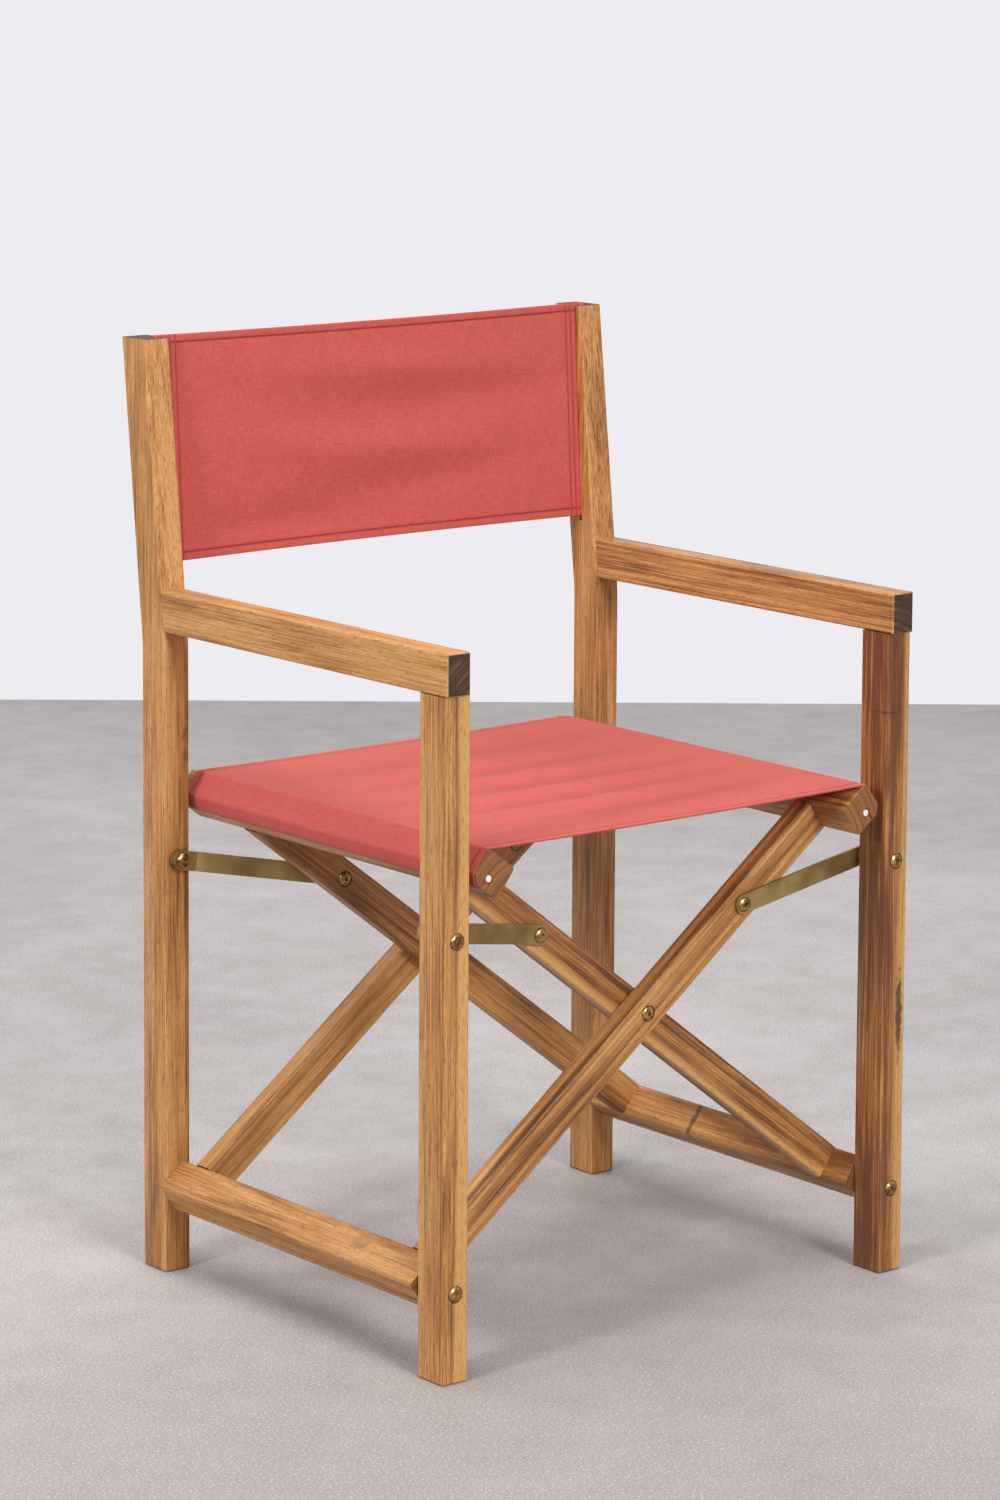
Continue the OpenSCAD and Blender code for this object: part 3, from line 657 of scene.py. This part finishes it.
for y0, lean, width, height, peak in ridges:
    line = (mid[..., 1] - y0 - lean * mid[..., 0]) / width
    along = np.exp(-(((mid[..., 0] - peak) / 0.22) ** 2))
    lift += height * np.exp(-line * line) * along
lift *= free ** 0.6
mid[..., 2] += lift - free * SAG
y_edge = np.minimum(mid[..., 1] - seat_low.y, seat_high.y - mid[..., 1])
# The hollows also get painted shade: their colour is drawn a little deeper, as soft light hardly shows
# their shape.
hollow = np.clip(-lift / DEEPEST, 0, 1)
# Shade colour where the stitches pull the cloth in, and painted shade in the hollows.
crease_shade = np.maximum(pull(y_edge - seat_row, SEAM_REACH), HOLLOW_PAINTED_SHADE * hollow)
mid[..., 2] -= np.where(on_top, STITCH_DIP * pull(y_edge - seat_row, DIP_REACH), 0)
folded = hem(y_edge, seat_hem + HEM_TURN, HEM_TURN)
round_edge = np.clip(y_edge / EDGE_ROUND, 0.35, 1)
top = cloth_t / 2 * round_edge
bottom = (cloth_t / 2 + HEM_EXTRA * folded * np.where(on_top, 1, 0)) * round_edge
length = np.concatenate([[0], np.cumsum(np.linalg.norm(np.diff(section, axis=0), axis=1))])
uv = np.stack(np.broadcast_arrays(length[:, None], y_line[None, :]), -1)
seat, seat_normal = cloth_piece("seat_canvas", mid, top, bottom, uv, crease_shade)
rows = []
shown = slice(len(left), len(left) + len(top_line))
skin_out = cloth_t / 2 - THREAD_SUNK
for target in (seat_low.y + seat_row, seat_high.y - seat_row):
    j = int(np.argmin(np.abs(y_line - target)))
    rows.append((mid[shown, j] + seat_normal[shown, j] * skin_out, seat_normal[shown, j]))
seat_thread = stitch_rows("seat_stitching", rows)
for piece in (seat, seat_thread):
    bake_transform(piece)
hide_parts("seat_sling")

# Back canvas: the same cloth, with hemmed top and bottom edges. Each side goes
# into the slot of its post, round a rod, and back on itself under two rows of stitches.
back_low, back_high = (Vector(p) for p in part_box("back_sling"))
rod_low, rod_high = (Vector(p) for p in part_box("back_rod_right"))
post_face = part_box("rear_post_right")[0][0]
rod_x = (rod_low.x + rod_high.x) / 2
rod_r = (rod_high.x - rod_low.x) / 2
lean = math.atan2(rod_high.y - rod_low.y - 2 * rod_r, rod_high.z - rod_low.z)
foot_y = rod_low.y + rod_r * math.cos(lean)
foot_z = rod_low.z + rod_r * math.sin(lean)
back_hem = 0.009
sleeve = 0.0031
layer = 0.00055
flap = 0.016
turn = math.degrees(math.asin(layer / sleeve))
wrap = arc((rod_x, 0), sleeve, -180 + turn, 180 - turn, 26)
side = wrap + run_of(wrap[-1], (post_face - 0.001, layer), 4)
side += run_of(side[-1], (post_face - flap, layer), 5)
BACK_COLUMNS = 110
side_rows = (post_face - 0.0055, post_face - 0.0115)
x_ends = (-wrap[0][0], wrap[0][0])
x_line = [wrap[0][0] * (2 * i / BACK_COLUMNS - 1) for i in range(1, BACK_COLUMNS)]
x_line = np.concatenate([x_line, rows_at([], side_rows, x_ends)])
front_line = [(x, -layer) for x in np.unique(np.round(x_line, 6))]
other = [(-x, y) for x, y in side[::-1]]
section = np.array(other + front_line + side)
skirt = (sleeve + cloth_t / 2) * math.sin(lean)
start_up = (back_low.z + skirt - foot_z) / math.cos(lean)
back_long = (back_high.z - back_low.z - 2 * skirt) / math.cos(lean)
z_line = np.linspace(0, back_long, 84)
back_row = back_hem - ROW_FROM_HEM
edge_z = [EDGE_ROUND, back_hem, back_hem + HEM_TURN]
z_line = np.concatenate([z_line, rows_at(edge_z, [back_row], (0, back_long))])
z_line = np.unique(np.round(z_line, 6))
flat_x = section[:, 0, None] + 0 * z_line[None, :]
flat_n = section[:, 1, None] + 0 * z_line[None, :]
# Slack between the posts: shallow waves from post to post, and edges drawn in a little.
single = np.abs(flat_x) < post_face - flap
single &= np.abs(flat_n + layer) < 1e-6
free = np.where(single, np.clip(1 - (flat_x / (post_face - flap)) ** 2, 0, 1), 0)
waves = [
    (0.045, 0.12, 0.024, 0.00476, 0.05),
    (0.088, -0.10, 0.020, -0.00408, -0.04),
    (0.122, 0.05, 0.026, 0.00578, 0.10),
    (0.165, -0.06, 0.018, -0.0034, 0.02),
    (0.020, -0.04, 0.016, 0.00272, -0.12),
]
lift = np.zeros(free.shape)
for z0, slant, width, height, peak in waves:
    line = (z_line[None, :] - z0 - slant * flat_x) / width
    along = np.exp(-(((flat_x - peak) / 0.2) ** 2))
    lift += height * np.exp(-line * line) * along
flat_n = flat_n + free ** 0.6 * lift
z_edge = np.minimum(z_line, back_long - z_line)[None, :] + 0 * flat_x
side_edge = np.min([np.abs(np.abs(flat_x) - row) for row in side_rows], axis=0)
crease_shade = np.maximum(pull(z_edge - back_row, SEAM_REACH), pull(side_edge, 0.0009))
dip = np.maximum(pull(z_edge - back_row, DIP_REACH), pull(side_edge, 0.0014))
flat_n += np.where(np.abs(flat_x) < post_face, STITCH_DIP * dip, 0)
share = z_line[None, :] / back_long
draw = 0.0016 * np.clip(1 - (flat_x / rod_x) ** 2, 0, 1)
up = start_up + z_line[None, :] + draw * (1 - 2 * share)
mid = np.zeros((*flat_x.shape, 3))
mid[..., 0] = flat_x
mid[..., 1] = foot_y + up * math.sin(lean) + flat_n * math.cos(lean)
mid[..., 2] = foot_z + up * math.cos(lean) - flat_n * math.sin(lean)
folded = hem(z_edge, back_hem + HEM_TURN, HEM_TURN) * np.where(single, 1, 0)
round_edge = np.clip(z_edge / EDGE_ROUND, 0.35, 1)
top = cloth_t / 2 * round_edge
bottom = (cloth_t / 2 + HEM_EXTRA * folded) * round_edge
length = np.concatenate([[0], np.cumsum(np.linalg.norm(np.diff(section, axis=0), axis=1))])
uv = np.stack(np.broadcast_arrays(length[:, None], z_line[None, :]), -1)
back, back_normal = cloth_piece("back_canvas", mid, top, bottom, uv, crease_shade)
rows = []
shown = slice(len(other), len(other) + len(front_line))
skin_out = cloth_t / 2 - THREAD_SUNK
for target in (back_row, back_long - back_row):
    j = int(np.argmin(np.abs(z_line - target)))
    rows.append((mid[shown, j] + back_normal[shown, j] * skin_out, back_normal[shown, j]))
for row in side_rows:
    for target in (-row, row):
        i = len(other) + int(np.argmin(np.abs(section[shown, 0] - target)))
        line = mid[i] + back_normal[i] * skin_out
        line[:, 0] += target - line[:, 0]
        rows.append((line, back_normal[i]))
back_thread = stitch_rows("back_stitching", rows)
# Folded, the right rod stands at 0.455 of its open distance from the left one at the foot of
# the cloth and at 0.485 at the top, as the post leans. Here both pieces only ride with the left side.
for piece in (back, back_thread):
    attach(piece, "left_side")
    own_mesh(piece)
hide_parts("back_sling")

# Studio: a pale speckled floor that meets a lilac grey wall well behind the chair, a wide
# soft lamp overhead, a small one at the left, a far one in front, and an even fill. The
# floor's paint darkens towards the camera as painted shade, which evens out the front lamp.
EYE = Vector((-2.730, -3.307, 1.337))
YAW = math.radians(39.02)
PITCH = math.radians(6.84)
ROLL = math.radians(-0.3)
WALL_AWAY = 7.137
TO_WALL = (0.63, 0.777, 0)
WALL = srgb(237, 236, 241)
FLOOR_PALE = srgb(201, 197, 197)
FLOOR_DEEP = srgb(160, 153, 151)
FLOOR_FLECK = srgb(236, 232, 230)
FLOOR_PAINTED_SHADE = srgb(146, 137, 134)
bpy.ops.object.select_all(action="DESELECT")
bpy.ops.mesh.primitive_plane_add(size=1)
floor = bpy.context.object
floor.name = "studio_floor"
HALF_FLOOR = 14.0
facing = Matrix.Rotation(-YAW, 4, "Z")
for v in floor.data.vertices:
    far_edge = WALL_AWAY if v.co.y > 0 else WALL_AWAY - 2 * HALF_FLOOR
    flat = Vector((v.co.x * 2 * HALF_FLOOR, far_edge, 0))
    v.co = facing @ flat + Vector((EYE.x, EYE.y, 0))
concrete, b, skin = new_material("studio floor")
where = b.add("ShaderNodeTexCoord").outputs["Object"]
soft = b.noise(where, 1.6, 4, 0.6).outputs["Fac"]
patch = b.noise(where, 14, 5, 0.7).outputs["Fac"]
speck = b.noise(where, 420, 3, 0.8).outputs["Fac"]
shade = b.math("MULTIPLY_ADD", speck, 0.5, b.math("MULTIPLY", b.math("ADD", soft, patch), 0.25))
paint = b.ramp(shade, (0.38, FLOOR_DEEP), (0.6, FLOOR_PALE))
away = b.add("ShaderNodeVectorMath", operation="DOT_PRODUCT")
b.put(away.inputs[0], where)
away.inputs[1].default_value = TO_WALL
# Painted shade: the floor darkens towards the camera, to even out the front lamp.
paint = b.mix(b.step(away.outputs["Value"], 0.4, -0.75, 0, 0.72), paint, FLOOR_PAINTED_SHADE)
paint = b.mix(b.step(speck, 0.56, 0.66, 0, 0.8), paint, FLOOR_FLECK)
b.put(skin["Base Color"], paint)
b.put(skin["Roughness"], b.math("MULTIPLY_ADD", soft, 0.3, 0.45))
skin["Specular IOR Level"].default_value = 0.3
add_bump(b, skin, speck, 0.1, 0.0008)
floor.data.materials.append(concrete)

world = bpy.data.worlds.new("studio")
bpy.context.scene.world = world
world.use_nodes = True
world.node_tree.nodes.clear()
w = Nodes(world.node_tree)
light = w.add("ShaderNodeBackground")
light.inputs["Color"].default_value = (1, 0.99, 0.98, 1)
light.inputs["Strength"].default_value = 0.34
wall = w.add("ShaderNodeBackground")
wall.inputs["Color"].default_value = WALL
wall.inputs["Strength"].default_value = 1
rays = w.add("ShaderNodeLightPath")
seen = w.math("MAXIMUM", rays.outputs["Is Camera Ray"], rays.outputs["Is Glossy Ray"])
seen = w.math("MAXIMUM", seen, rays.outputs["Is Transmission Ray"])
either = w.add("ShaderNodeMixShader")
w.put(either.inputs[0], seen)
w.put(either.inputs[1], light.outputs[0])
w.put(either.inputs[2], wall.outputs[0])
w.put(w.add("ShaderNodeOutputWorld").inputs["Surface"], either.outputs[0])


def soft_lamp(name, place, aim, size, power):
    lamp = bpy.data.lights.new(name, "AREA")
    lamp.shape = "SQUARE"
    lamp.size = size
    lamp.energy = power
    holder = bpy.data.objects.new(name, lamp)
    bpy.context.scene.collection.objects.link(holder)
    holder.location = place
    holder.rotation_euler = (Vector(aim) - Vector(place)).to_track_quat("-Z", "Y").to_euler()


soft_lamp("overhead", (-0.5, 0.3, 3.6), (0, 0.1, 0.4), 3.2, 98)
soft_lamp("side", (-4.2, -0.75, 2.2), (0, 0, 0.4), 0.7, 84)
soft_lamp("front", (-1.0, -7.0, 3.9), (0, 0, 0.6), 2.0, 385)

# The picture is WIDE x TALL. FOCAL and the lens's MIDDLE, from its top left, are in the same units.
WIDE, TALL = 1000, 1500
FOCAL = 4710
MIDDLE = (475.5, 391.5)
lens = bpy.data.cameras.new("camera")
camera = bpy.data.objects.new("camera", lens)
bpy.context.scene.collection.objects.link(camera)
lens.sensor_fit = "VERTICAL"
lens.sensor_height = 36
lens.lens = FOCAL / TALL * lens.sensor_height
lens.shift_x = (WIDE / 2 - MIDDLE[0]) / TALL
lens.shift_y = (MIDDLE[1] - TALL / 2) / TALL
ahead = Vector((math.sin(YAW) * math.cos(PITCH), math.cos(YAW) * math.cos(PITCH), -math.sin(PITCH)))
turn = ahead.to_track_quat("-Z", "Y").to_matrix() @ Matrix.Rotation(-ROLL, 3, "Z")
camera.matrix_world = Matrix.Translation(EYE) @ turn.to_4x4()
bpy.context.scene.camera = camera
bpy.context.scene.view_settings.view_transform = "Standard"
